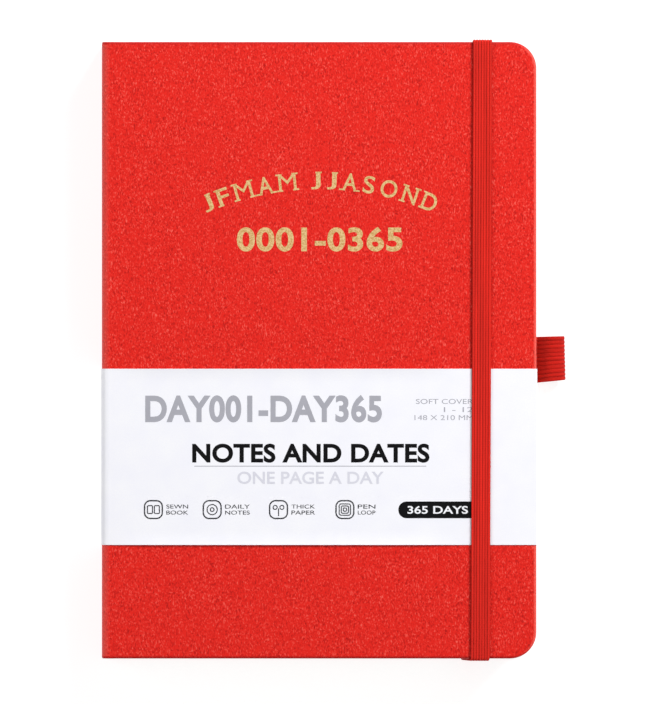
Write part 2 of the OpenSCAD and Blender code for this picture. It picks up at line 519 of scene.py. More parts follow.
@dataclass(frozen=True)
class Finish:
    """What every finish shares: its name, its gloss and where its pattern is read.

    A bent piece reads its own flat place. A CAD node, which carries none, reads its
    object coordinates.
    """

    name: str
    roughness: float = 0.5
    specular: float = 0.5
    bent: bool = True

    def start(self) -> tuple[bpy.types.Material, bpy.types.NodeTree, bpy.types.NodeSocket]:
        """Makes the empty material.

        Returns:
            The material, its tree and the socket that gives a point's place in metres.
        """
        material = bpy.data.materials.new(self.name)
        material.use_nodes = True
        tree = material.node_tree
        tree.nodes.clear()
        if self.bent:
            return material, tree, add(tree, "Attribute", attribute_name=PLACE).outputs["Vector"]
        return material, tree, add(tree, "TexCoord").outputs["Object"]

    def close(
        self,
        tree: bpy.types.NodeTree,
        colour: bpy.types.Node,
        height: bpy.types.Node | None = None,
        depth: float = 0.0,
        **extra: object,
    ) -> None:
        """Ends a material with one surface shader.

        Args:
            tree: The material's tree.
            colour: Node that gives the base colour.
            height: Node that gives the relief, from 0 to 1, if there is one.
            depth: Depth of that relief, in metres.
            **extra: Further uniform inputs, with spaces in their names as underscores.
        """
        inputs = {k.replace("_", " "): v for k, v in extra.items()}
        inputs.update({"Base Color": colour, "Roughness": self.roughness})
        inputs["Specular IOR Level"] = self.specular
        if height is not None:
            inputs["Normal"] = add(
                tree, "Bump", {"Height": height, "Distance": depth, "Strength": 1}
            )
        add(tree, "OutputMaterial", {"Surface": add(tree, "BsdfPrincipled", inputs)})


@dataclass(frozen=True)
class SoftSkin(Finish):
    """Polyurethane skin, cast on cloth and rolled with a fine leather grain.

    Short wavy creases that run mostly lengthwise, with painted shade in their hollows and
    a painted highlight on their crests, in patches with smoother skin between them. Real
    creases are finer than can show, so they are drawn about twice as wide.
    """

    colour: str = "e61f13"
    # Painted shade in the creases' hollows and along the head and the foot.
    shade: str = "b20d07"
    # Painted highlight on the creases' crests, along the fore edge and on the spine's corner.
    painted_highlight: str = "ff7769"
    crease: float = 0.44 * MM
    stretch: float = 0.5
    wave: float = 2.6 * MM
    sway: float = 0.45
    patch: float = 10 * MM
    depth: float = 0.11 * MM
    # How much painted highlight the fore edge and the spine get, and how much painted shade the
    # head and the foot get.
    edge_highlight: float = 0.6
    edge_shade: float = 0.9

    def build(self) -> bpy.types.Material:
        """Draws the creases in their patches with painted shade and highlight, then the edges'
        painted highlight and shade.

        Returns:
            The finished material.
        """
        material, tree, place = self.start()
        drawn = add(tree, "VectorMath", {0: place, 1: (1, self.stretch, 1)}, operation="MULTIPLY")
        warp = add(tree, "TexNoise", {"Vector": place, "Scale": 1 / self.wave, "Detail": 2})
        swing = {0: warp.outputs["Color"], "Scale": self.sway * self.wave}
        shift = add(tree, "VectorMath", swing, operation="SCALE")
        moved = add(tree, "VectorMath", {0: drawn, 1: shift}, operation="ADD")
        grain = {"Vector": moved, "Scale": 1 / self.crease, "Detail": 1.5, "Roughness": 0.5}
        creases = add(tree, "TexNoise", grain)
        zones = add(tree, "TexNoise", {"Vector": place, "Scale": 1 / self.patch, "Detail": 2})
        strength = add(tree, "MapRange", {"Value": zones, **UNEVEN})
        centred = add(tree, "Math", {0: creases, 1: 0.5}, operation="SUBTRACT")
        relief = add(tree, "Math", {0: centred, 1: strength, 2: 0.5}, operation="MULTIPLY_ADD")
        # Painted shade in the hollows of the creases, and a painted highlight on their crests.
        dark = add(tree, "MapRange", {"Value": relief, "From Min": 0.27, "From Max": 0.49})
        skin = add(tree, "Mix", {0: dark, 6: self.shade, 7: self.colour}, data_type="RGBA")
        glint = {"Value": relief, "From Min": 0.57, "From Max": 0.86, "To Max": 0.88}
        light = add(tree, "MapRange", glint)
        skin = add(tree, "Mix", {0: light, 6: skin, 7: self.painted_highlight}, data_type="RGBA")
        # Painted highlight where the edge attribute is above 0, painted shade where it is below 0.
        rim = add(tree, "Attribute", attribute_name=EDGE_LIGHT_ATTRIBUTE).outputs["Fac"]
        edge_light = (1, self.edge_highlight, self.painted_highlight), (-1, self.edge_shade, self.shade)
        for full, share, hue in edge_light:
            amount = add(tree, "MapRange", {"Value": rim, "From Max": full, "To Max": share})
            skin = add(tree, "Mix", {0: amount, 6: skin, 7: hue}, data_type="RGBA")
        self.close(tree, skin, relief, self.depth)
        return material


@dataclass(frozen=True)
class RibbedElastic(Finish):
    """Polyester elastic, woven over rubber cords that show as round ribs.

    Dull, with small weft stitches across each rib, painted lighter where they stand proud,
    and painted shade in the grooves between the ribs. The weft is finer than can show, so
    it is drawn about twice as coarse.
    """

    colour: str = "e0261a"
    # Painted shade at the bottom of the grooves between the ribs.
    groove: str = "a3130b"
    weft: float = 0.8 * MM
    fuzz: float = 0.25 * MM
    streak: float = 1.2 * MM
    depth: float = 0.2 * MM
    relief: float = 0.08 * MM

    def build(self) -> bpy.types.Material:
        """Draws the weft's painted light and shade, the grooves' painted shade and the yarns'
        uneven tension.

        Returns:
            The finished material.
        """
        material, tree, place = self.start()
        split = add(tree, "SeparateXYZ", {0: place}).outputs
        turns = add(tree, "Math", {0: split["X"], 1: math.tau / self.weft}, operation="MULTIPLY")
        wave = add(tree, "Math", {0: turns}, operation="SINE")
        fuzz = add(tree, "TexNoise", {"Vector": place, "Scale": 1 / self.fuzz, "Detail": 2})
        stitch = add(tree, "MapRange", {"Value": wave, "From Min": -1, "To Min": 0.75})
        relief = add(tree, "Math", {0: stitch, 1: fuzz}, operation="MULTIPLY")
        # Painted shade: the colour darkens towards the bottom of each groove.
        low = {"Value": split["Z"], "From Min": -self.depth, "From Max": 0}
        crest = add(tree, "MapRange", low)
        tone = add(tree, "Mix", {0: crest, 6: self.groove, 7: self.colour}, data_type="RGBA")
        # Painted light and shade: the weft's stitches are lighter where they stand proud and
        # darker where they sink.
        shade = {"Value": relief, "From Max": 0.6, "To Min": 0.78, "To Max": 1.1}
        lit = add(tree, "MapRange", shade)
        drawn = add(tree, "VectorMath", {0: place, 1: (0.02, 1, 0)}, operation="MULTIPLY")
        yarns = add(tree, "TexNoise", {"Vector": drawn, "Scale": 1 / self.streak})
        tension = add(tree, "MapRange", {"Value": yarns, **UNEVEN})
        both = add(tree, "Math", {0: lit, 1: tension}, operation="MULTIPLY")
        final = add(tree, "VectorMath", {0: tone, "Scale": both}, operation="SCALE")
        self.close(tree, final, relief, self.relief)
        return material


@dataclass(frozen=True)
class Sheet(Finish):
    """Paper, board or ink: pressed fibres, a little cloudy, with a faint tooth."""

    colour: str = "f4f2ea"
    cloud: str = "e9e6dc"
    fibre: float = 0.5 * MM
    clump: float = 9 * MM
    relief: float = 0.01 * MM

    def build(self) -> bpy.types.Material:
        """Draws the fibres and the clouds they form.

        Returns:
            The finished material.
        """
        material, tree, place = self.start()
        fine = {"Vector": place, "Scale": 1 / self.fibre, "Detail": 4, "Roughness": 0.6}
        fibres = add(tree, "TexNoise", fine)
        clouds = add(tree, "TexNoise", {"Vector": place, "Scale": 1 / self.clump, "Detail": 2})
        both = add(tree, "Math", {0: fibres, 1: clouds}, operation="MULTIPLY")
        ramp = add(tree, "MapRange", {"Value": both, "From Min": 0.12, "From Max": 0.4})
        tone = add(tree, "Mix", {0: ramp, 6: self.cloud, 7: self.colour}, data_type="RGBA")
        self.close(tree, tone, fibres, self.relief)
        return material


@dataclass(frozen=True)
class Leaves(Finish):
    """Wood-free paper cut in a block: the edges show each leaf as a fine line.

    A leaf is too thin to show, so the lines are drawn three leaves apart.
    """

    colour: str = "f3f0e6"
    line: str = "c9c3b3"
    shade: str = "ece9de"
    leaf: float = 0.3 * MM
    leaf_relief: float = 0.12 * MM
    tooth: float = 0.6 * MM
    tooth_relief: float = 0.01 * MM
    ruled: bool = False
    ink: str = "a9adb3"
    pitch: float = 7 * MM
    line_width: float = 0.3 * MM
    margin: tuple[float, float] = (22 * MM, 9 * MM)
    head: float = 24 * MM
    foot: float = 12 * MM

    def rule(
        self, tree: bpy.types.NodeTree, place: bpy.types.NodeSocket, paper: bpy.types.Node
    ) -> bpy.types.Node:
        """Draws the writing lines on a page.

        Args:
            tree: The material's tree.
            place: Socket that gives a point's place.
            paper: Node that gives the paper's colour.

        Returns:
            The node that gives the colour with the lines on it.
        """
        low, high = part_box("signature_06")
        split = add(tree, "SeparateXYZ", {0: place}).outputs
        rows = add(tree, "Math", {0: split["Y"], 1: self.pitch, 2: 0}, operation="WRAP")
        mask = add(tree, "Math", {0: rows, 1: self.line_width}, operation="LESS_THAN")
        for axis, test, limit in (
            ("X", "GREATER_THAN", low.x + self.margin[0]),
            ("X", "LESS_THAN", high.x - self.margin[1]),
            ("Y", "GREATER_THAN", low.y + self.foot),
            ("Y", "LESS_THAN", high.y - self.head),
        ):
            inside = add(tree, "Math", {0: split[axis], 1: limit}, operation=test)
            mask = add(tree, "Math", {0: mask, 1: inside}, operation="MULTIPLY")
        return add(tree, "Mix", {0: mask, 6: paper, 7: self.ink}, data_type="RGBA")

    def build(self) -> bpy.types.Material:
        """Draws the leaves' edges, or for a ruled page its paper and its lines.

        Returns:
            The finished material.
        """
        material, tree, place = self.start()
        if self.ruled:
            tooth = add(tree, "TexNoise", {"Vector": place, "Scale": 1 / self.tooth, "Detail": 3})
            paper = add(tree, "Mix", {0: tooth, 6: self.shade, 7: self.colour}, data_type="RGBA")
            self.close(tree, self.rule(tree, place, paper), tooth, self.tooth_relief)
            return material
        thin = {0: place, 1: (8, 8, 1 / self.leaf)}
        along = add(tree, "VectorMath", thin, operation="MULTIPLY")
        fine = {"Vector": along, "Scale": 1, "Detail": 2, "Roughness": 0.7}
        lines = add(tree, "TexNoise", fine)
        edge = add(tree, "MapRange", {"Value": lines, "From Min": 0.32, "From Max": 0.58})
        tone = add(tree, "Mix", {0: edge, 6: self.line, 7: self.colour}, data_type="RGBA")
        self.close(tree, tone, lines, self.leaf_relief)
        return material


@dataclass(frozen=True)
class Foil(Finish):
    """Gold foil, hot stamped into the skin: metal, dulled by the grain beneath it."""

    colour: str = "ffdb9c"
    dark: str = "dba963"
    grain: float = 0.5 * MM
    relief: float = 0.06 * MM
    metallic: float = 0.45

    def build(self) -> bpy.types.Material:
        """Draws the foil with the skin's grain in it.

        Returns:
            The finished material.
        """
        material, tree, place = self.start()
        grain = add(tree, "TexNoise", {"Vector": place, "Scale": 1 / self.grain, "Detail": 3})
        ramp = add(tree, "MapRange", {"Value": grain, "From Min": 0.35, "From Max": 0.6})
        tone = add(tree, "Mix", {0: ramp, 6: self.dark, 7: self.colour}, data_type="RGBA")
        self.close(tree, tone, grain, self.relief, Metallic=self.metallic)
        return material


@dataclass(frozen=True)
class Woven(Finish):
    """Plain-woven cotton or linen: over and under, with a gap between the threads."""

    colour: str = "ded7c4"
    gap: str = "9c947f"
    thread: float = 0.9 * MM
    relief: float = 0.1 * MM

    def build(self) -> bpy.types.Material:
        """Draws the threads both ways.

        Returns:
            The finished material.
        """
        material, tree, place = self.start()
        split = add(tree, "SeparateXYZ", {0: place}).outputs
        waves = []
        for axis in ("Y", "Z"):
            phase = {0: split[axis], 1: math.tau / self.thread}
            turns = add(tree, "Math", phase, operation="MULTIPLY")
            waves.append(add(tree, "Math", {0: turns}, operation="SINE"))
        weave = add(tree, "Math", {0: waves[0], 1: waves[1]}, operation="MAXIMUM")
        ramp = add(tree, "MapRange", {"Value": weave, "From Min": -1})
        tone = add(tree, "Mix", {0: ramp, 6: self.gap, 7: self.colour}, data_type="RGBA")
        self.close(tree, tone, ramp, self.relief)
        return material


@dataclass(frozen=True)
class Silk(Finish):
    """Headband silk: red and white threads wound in turn round a cord."""

    colour: str = "c8342a"
    other: str = "efe9dc"
    turn: float = 1.6 * MM
    fuzz: float = 0.2 * MM
    relief: float = 0.04 * MM
    sheen: float = 0.2

    def build(self) -> bpy.types.Material:
        """Draws the two colours in turn.

        Returns:
            The finished material.
        """
        material, tree, place = self.start()
        split = add(tree, "SeparateXYZ", {0: place}).outputs
        turns = add(tree, "Math", {0: split["Z"], 1: math.tau / self.turn}, operation="MULTIPLY")
        wave = add(tree, "Math", {0: turns}, operation="SINE")
        side = add(tree, "MapRange", {"Value": wave, "From Min": -0.15, "From Max": 0.15})
        tone = add(tree, "Mix", {0: side, 6: self.colour, 7: self.other}, data_type="RGBA")
        fuzz = add(tree, "TexNoise", {"Vector": place, "Scale": 1 / self.fuzz, "Detail": 2})
        self.close(tree, tone, fuzz, self.relief, Sheen_Weight=self.sheen)
        return material


@dataclass(frozen=True)
class StudioPaper(Finish):
    """Matt white background paper, lit from beneath so that it stays plain white."""

    colour: str = "a6a6a6"
    shade: str = "a2a2a2"
    tooth: float = 2 * MM
    glow: float = 0.82

    def build(self) -> bpy.types.Material:
        """Draws the paper's tooth.

        Returns:
            The finished material.
        """
        material, tree, place = self.start()
        tooth = add(tree, "TexNoise", {"Vector": place, "Scale": 1 / self.tooth})
        tone = add(tree, "Mix", {0: tooth, 6: self.shade, 7: self.colour}, data_type="RGBA")
        self.close(tree, tone, Emission_Color="ffffff", Emission_Strength=self.glow)
        return material


class Palette:
    """The planner's finishes, each made once."""

    def __init__(self) -> None:
        """Builds every finish."""
        self.skin = SoftSkin("rolled polyurethane skin", 0.5, 0.22).build()
        self.strap = RibbedElastic("woven strap elastic", 0.8, 0.2).build()
        # The loop's groove colour is painted shade in its grooves, as on the strap.
        self.loop = RibbedElastic(
            "woven loop elastic", 0.85, 0.2, colour="c81a0f", groove="a8140b"
        ).build()
        self.coated = Sheet("coated band paper", 0.35, colour="fbfbff", cloud="f6f6fe").build()
        self.leaves = Leaves("cut leaf edges", 0.8, 0.3).build()
        self.ruled = Leaves("ruled writing paper", 0.8, 0.3, ruled=True).build()
        self.endpaper = Sheet(
            "cream endpaper", 0.75, 0.3, False, colour="f0eadb", cloud="e6dfcd"
        ).build()
        self.board = Sheet(
            "pressed grey board", 0.9, 0.2, False, colour="9a958a", cloud="7f7a70",
            relief=0.04 * MM,
        ).build()
        self.gauze = Woven("starched cotton gauze", 0.9, 0.2, False).build()
        self.thread = Woven(
            "linen sewing thread", 0.8, 0.3, False, colour="f3f1ea", gap="c9c4b6", thread=0.5 * MM
        ).build()
        self.silk = Silk("wound headband silk", 0.6).build()
        self.gold = Foil("stamped gold foil", 0.38).build()
        self.black = Sheet("black offset ink", 0.4, 0.15, colour="0f0f11", cloud="09090b").build()
        self.grey = Sheet("grey offset ink", 0.4, colour="afafb8", cloud="a8a8b1").build()
        self.pale = Sheet("pale grey offset ink", 0.4, colour="dedee8", cloud="d8d8e3").build()
        self.dim = Sheet(
            "dark grey offset ink", 0.4, 0.2, colour="3a3b3f", cloud="313236"
        ).build()
        self.white = Sheet("bare white paper", 0.4, colour="f7f8fc", cloud="f1f2f7").build()


# ---------------------------------------------------------------- cover and block


@dataclass
class Cover:
    """One half of the soft cover, from the middle of the spine to the fore edge.

    The skin is thin round the spine and, within one step, as deep as the board it wraps.
    A painted highlight lies along the fore edge and on the spine's corner at a share of the
    turn, and a painted shade along the head and the foot.
    """

    layout: Layout
    palette: Palette
    side: Side
    rim: float = 0.7 * MM
    rim_from: float = 1 * MM
    edge_cuts: int = 12
    # Painted highlight on the spine's corner: how strong, where it peaks and how far it spreads,
    # as shares of the turn.
    spine_highlight: float = 0.5
    highlight_at: float = 0.4
    highlight_span: float = 0.7
    step: float = 0.8 * MM
    fold_step: float = 0.35 * MM
    edge_run: float = 12 * MM

    def track(self) -> Track:
        """Lays out the path of the skin's outer face, as the front half has it.

        Returns:
            The path, from the middle of the spine to the fore edge.
        """
        lay = self.layout
        middle, top = (lay.spine_x, lay.mid_z), (lay.spine_x, lay.front_z)
        return Track.through([middle, top, (lay.fore_x, lay.front_z)], [lay.corner_r])

    def paint_edge_light(self, bm: bmesh.types.BMesh, track: Track) -> None:
        """Marks a painted highlight above 0, along the fore edge and the spine's corner, and a
        painted shade below 0, along the head and the foot.

        Args:
            bm: The skin, still flat.
            track: The path it will be bent along.
        """
        layer = bm.verts.layers.float.new(EDGE_LIGHT_ATTRIBUTE)
        lay = self.layout
        first, turn = track.legs[0][0], track.legs[1][0]
        for v in bm.verts:
            gap = Vector((track.length - v.co.x, lay.head_y - abs(v.co.y)))
            inner = Vector((lay.fore_corner - gap.x, lay.fore_corner - gap.y))
            inside, fore = min(gap), float(gap.x < gap.y)
            if min(inner) > 0:
                inside = lay.fore_corner - inner.length
                fore = inner.x / inner.length
            crest = max(0.0, 1 - abs(inside - self.rim / 2) / self.rim)
            away = abs(v.co.x - first - turn * self.highlight_at)
            bowed = max(0.0, 1 - away / (turn * self.highlight_span))
            # Painted highlight along the fore edge and the spine's corner, painted shade along the
            # head and the foot.
            v[layer] = crest * (2 * fore - 1) + bowed * self.spine_highlight * (1 - crest)

    def build(self) -> list[bpy.types.Object]:
        """Makes the skin, turned over its board and round the spine.

        Returns:
            The skin, turned round the spine's corner.
        """
        lay, track = self.layout, self.track()
        bm = outline((0, -lay.head_y), (track.length, lay.head_y), lay.fore_corner)
        thicken(bm, lay.cover_t)
        soften(bm, rim_edges(bm, lambda p: p.x > self.rim_from), self.rim)
        board_s = track.length - (lay.fore_x - lay.board_x)
        first, turn = track.legs[0][0], track.legs[1][0]
        count = int((turn + 4 * lay.corner_r) / self.fold_step)
        cut(bm, 0, spread(first - 2 * lay.corner_r, board_s - self.step, count))
        far = track.length - self.edge_run
        cut(bm, 0, [board_s, *spread(board_s + self.step, far, self.edge_cuts)])
        back = self.side is Side.BACK
        place_flat(bm, float(back))
        self.paint_edge_light(bm, track)
        thin = lay.skin_t / lay.cover_t

        def move(p: Vector) -> Vector:
            """Bends the skin: thin at the spine, full depth over the board's edge.

            Args:
                p: A point of the flat skin.

            Returns:
                Its place.
            """
            share = clamp((p.x - board_s + self.step) / self.step)
            x, z = track.bend(p.x, p.z * (thin + (1 - thin) * share))
            return Vector((x, p.y, 2 * lay.mid_z - z if back else z))

        bend_strip(bm, move, back)
        obj = settle(f"cover_{self.side.value}", bm, [self.palette.skin])
        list(lay.corner(self.side))
        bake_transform(obj)
        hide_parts(f"{self.side.value}_skin", "spine_skin")
        return [obj]


@dataclass
class PageBlock:
    """The sewn sections, each with a round fold."""

    palette: Palette
    sections: int = 10
    corner: float = 8 * MM
    fold_round: float = 0.48
    fold_strips: int = 5
    fold_cuts: int = 22
    fold_near: float = 0.1 * MM
    fold_from: float = 1.2 * MM
    fold_reach: float = 15 * MM
    slack: float = 0.25 * MM

    def section(self, number: int) -> bpy.types.Object:
        """Makes one section, with a round fold and round fore-edge corners.

        Args:
            number: Its place in the block, from 1 under the front cover.

        Returns:
            The section, cut into strips near its fold.
        """
        node = f"signature_{number:02d}"
        low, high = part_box(node)
        thick, half = high.z - low.z, self.sections // 2
        reach = high.x - RANDOM.uniform(0, self.slack)
        bm = outline((low.x, low.y), (reach, high.y), self.corner)
        thicken(bm, thick)
        fold = rim_edges(bm, lambda p: abs(p.x - low.x) < self.fold_near)
        soften(bm, fold, thick * self.fold_round, self.fold_strips)
        cut(bm, 0, spread(low.x + self.fold_from, low.x + self.fold_reach, self.fold_cuts))
        bmesh.ops.translate(bm, verts=bm.verts[:], vec=(0, 0, high.z))
        place_flat(bm)
        inner = {half: -1, half + 1: 1}.get(number, 0)
        for face in bm.faces:
            if inner and face.normal.z * inner > 0.9:
                face.material_index = 1
        obj = settle(f"section_{number:02d}", bm, [self.palette.leaves, self.palette.ruled])
        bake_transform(obj)
        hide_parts(node)
        return obj

    def build(self) -> list[bpy.types.Object]:
        """Makes all the sections, and dresses the CAD's hidden pieces beside them.

        Returns:
            The sections.
        """
        pal = self.palette
        papers = {"pastedown": pal.endpaper, "flyleaf": pal.endpaper, "board": pal.board}
        dress = {f"{side.value}_{name}": paper for side in Side for name, paper in papers.items()}
        dress.update(spine_liner=pal.board, mull=pal.gauze, sewing_thread=pal.thread)
        for node, finish in dress.items():
            mesh = frame["nodes"][node].data
            mesh.materials.clear()
            mesh.materials.append(finish)
        return [self.section(number) for number in range(1, self.sections + 1)]


@dataclass
class EndBand:
    """A headband: silk wound round a cord on a cloth tape, at one end of the folds."""

    palette: Palette
    node: str
    radius: float = 0.65 * MM
    tape: float = 0.15 * MM
    tape_x: float = 0.3 * MM
    tape_share: float = 0.98
    wind: float = 0.8 * MM
    wind_cuts: int = 6
    swell: float = 0.18

    def build(self) -> list[bpy.types.Object]:
        """Makes the wound cord and its tape.

        Returns:
            The headband, in one piece.
        """
        low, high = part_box(self.node)
        out = 1 if self.node == "headband" else -1
        edge, inner = (high.y, low.y) if out > 0 else (low.y, high.y)
        long, r = high.z - low.z, self.radius
        bm = bmesh.new()
        bmesh.ops.create_cone(bm, cap_ends=True, segments=14, radius1=r, radius2=r, depth=long)
        cut(bm, 2, spread(-long / 2, long / 2, int(long / self.wind * self.wind_cuts))[1:-1])
        for v in bm.verts:
            if abs(v.co.z) < long / 2 - 10 * SAME:
                bulge = self.swell * (abs(math.sin(math.pi * v.co.z / self.wind)) - 1)
                v.co.x, v.co.y = v.co.x * (1 + bulge), v.co.y * (1 + bulge)
        spot = Vector((high.x - r, edge - out * r, (low.z + high.z) / 2))
        bmesh.ops.translate(bm, verts=bm.verts[:], vec=spot)
        tape = bmesh.ops.create_cube(bm, size=1)["verts"]
        size = Vector((self.tape, abs(spot.y - inner), long * self.tape_share))
        middle = Vector((low.x + self.tape_x, (spot.y + inner) / 2, spot.z))
        bmesh.ops.scale(bm, verts=tape, vec=size)
        bmesh.ops.translate(bm, verts=tape, vec=middle)
        turn_out(bm)
        place_flat(bm)
        obj = settle(f"wound_{self.node}", bm, [self.palette.silk])
        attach(obj, "spine")
        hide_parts(self.node)
        return [obj]


# ---------------------------------------------------------------- elastic


@dataclass
class Strap:
    """The elastic strap: a ribbed loop, and its two fixed ends in the back cover.

    It drifts towards the spine by its skew: by its slant along the front, and by the rest
    on its way down at the foot. Its seam and play keep the loop clear of the fixed ends.
    """

    palette: Palette
    width: float = 6.5 * MM
    thick: float = 0.7 * MM
    ribs: int = 7
    groove: float = 0.2 * MM
    bend: float = 1.1 * MM
    under_bend: float = 0.75 * MM
    skew: float = 3.9 * MM
    slant: float = 0.8 * MM
    settled: float = 0.6
    drift_cuts: int = 8
    proud: float = 0.08 * MM
    seam: float = 1.4 * MM
    play: float = 0.15 * MM
    run: float = 12 * MM
    sink: float = 1.3 * MM
    keep: float = 0.04

    def base(self) -> float:
        """Returns the height of the elastic's outer face under the back cover."""
        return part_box("strap_anchor_foot")[0].z - self.proud

    def weave(
        self, name: str, track: Track, move: Callable[[Vector], Vector], cuts: Iterable[float] = ()
    ) -> bpy.types.Object:
        """Makes one length of the elastic.

        Args:
            name: The piece's name.
            track: The path it follows.
            move: Gives a flat point's place.
            cuts: Distances where it is cut besides the track's own bends.

        Returns:
            The piece.
        """
        cuts = [*track.stations(), *cuts]
        bm = ribbon(track.length, self.width, self.thick, self.ribs, self.groove, cuts)
        bend_strip(bm, move)
        turn_out(bm)
        obj = settle(name, bm, [self.palette.strap])
        return obj

    def loop(self) -> bpy.types.Object:
        """Makes the loop that crosses the front cover and turns under head and foot.

        Returns:
            The loop.
        """
        low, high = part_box("strap_loop")
        middle, base = high.x - self.width / 2, self.base()
        inner = high.y - self.seam
        points = [(-inner, base), (low.y, base), (low.y, high.z)]
        points += [(high.y, high.z), (high.y, base), (inner, base)]
        track = Track.through(points, [self.under_bend, self.bend, self.bend, self.under_bend])
        lengths = [length for length, _ in track.legs]
        foot, top, head = (sum(lengths[:count]) for count in (2, 4, 5))

        def move(p: Vector) -> Vector:
            """Bends the loop, which drifts along the front and down at the foot.

            Args:
                p: A point of the flat strip.

            Returns:
                Its place.
            """
            y, z = track.bend(p.x, p.z)
            over = clamp((head - p.x) / (head - top))
            down = clamp((top - p.x) / (top - foot) / self.settled)
            drift = self.slant * over + (self.skew - self.slant) * down
            return Vector((middle - p.y - drift, y, z))

        obj = self.weave("strap", track, move, spread(foot, top, self.drift_cuts))
        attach(obj, "strap")
        hinge = joint("strap_swing")["pos_m"]
        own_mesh(obj)
        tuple(hinge)
        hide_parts("strap_loop")
        return obj

    def anchor(self, node: str) -> bpy.types.Object:
        """Makes one fixed end: flush along the back cover, and in through its slit.

        Args:
            node: The CAD node it stands for.

        Returns:
            The fixed end.
        """
        low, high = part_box(node)
        out = 1 if node.endswith("head") else -1
        edge, far = (high.y, low.y) if out > 0 else (-low.y, -high.y)
        slit, base, middle = far + self.run, self.base(), (low.x + high.x) / 2
        inner = edge - self.seam - self.play
        points = [(inner, base), (slit, base), (slit, base + self.sink)]
        track = Track.through(points, [self.under_bend])

        def move(p: Vector) -> Vector:
            """Returns a point's place, at the head or at the foot."""
            y, z = track.bend(p.x, p.z)
            return Vector((middle + p.y, out * y, z))

        obj = self.weave(node.replace("strap_anchor", "strap_end"), track, move)
        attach(obj, "back_case")
        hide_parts(node)
        return obj

    def build(self) -> list[bpy.types.Object]:
        """Returns the loop and both fixed ends."""
        return [self.loop(), *map(self.anchor, ("strap_anchor_head", "strap_anchor_foot"))]


@dataclass
class PenLoop:
    """The pen loop: one strip of ribbed elastic, doubled into a drop shape.

    Towards its tip it tapers, leans to the head and stands out less at its head end.
    """

    palette: Palette
    thick: float = 0.7 * MM
    ribs: int = 11
    groove: float = 0.2 * MM
    round_r: float = 3.8 * MM
    neck_bend: float = 0.9 * MM
    half_neck: float = 0.36 * MM
    half_hinge: float = 0.6 * MM
    inside: float = 4 * MM
    taper: float = 0.045
    lean: float = 0.6 * MM
    slant: float = 0.35 * MM
    proud: float = 0.5 * MM

    def build(self) -> list[bpy.types.Object]:
        """Makes the loop from one strip.

        Returns:
            The loop.
        """
        low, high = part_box("pen_loop")
        hinge = Vector(joint("pen_loop_bend")["pos_m"])
        tip, width, middle = high.x + self.proud, high.y - low.y, (low.y + high.y) / 2
        centre = Vector((tip - self.round_r, high.z - self.round_r))
        ends = []
        for sign in (1, -1):
            neck = Vector((hinge.x, hinge.z + sign * self.half_neck))
            reach = centre - neck
            angle = math.atan2(reach.y, reach.x)
            angle += sign * math.asin(self.round_r / reach.length)
            far = (tip, neck.y + math.tan(angle) * (tip - neck.x))
            ends.append([(hinge.x - self.inside, neck.y), (neck.x, neck.y), far])
        radii = [self.neck_bend, self.round_r, self.round_r, self.neck_bend]
        track = Track.through(ends[0] + ends[1][::-1], radii)
        bm = ribbon(track.length, width, self.thick, self.ribs, self.groove, track.stations())

        def move(p: Vector) -> Vector:
            """Bends the loop, which is drawn in and leans a little towards its tip.

            Args:
                p: A point of the flat strip.

            Returns:
                Its place.
            """
            x, z = track.bend(p.x, p.z)
            share = max(0.0, (x - hinge.x) / (tip - hinge.x))
            y = middle - p.y * (1 - self.taper * share) + self.lean * share
            return Vector((x - self.slant * share * (0.5 - p.y / width), y, z))

        bend_strip(bm, move)
        turn_out(bm)
        obj = settle("pen_loop_strip", bm, [self.palette.loop])
        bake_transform(obj)
        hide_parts("pen_loop", "pen_loop_tab")
        return [obj]


# ---------------------------------------------------------------- printing


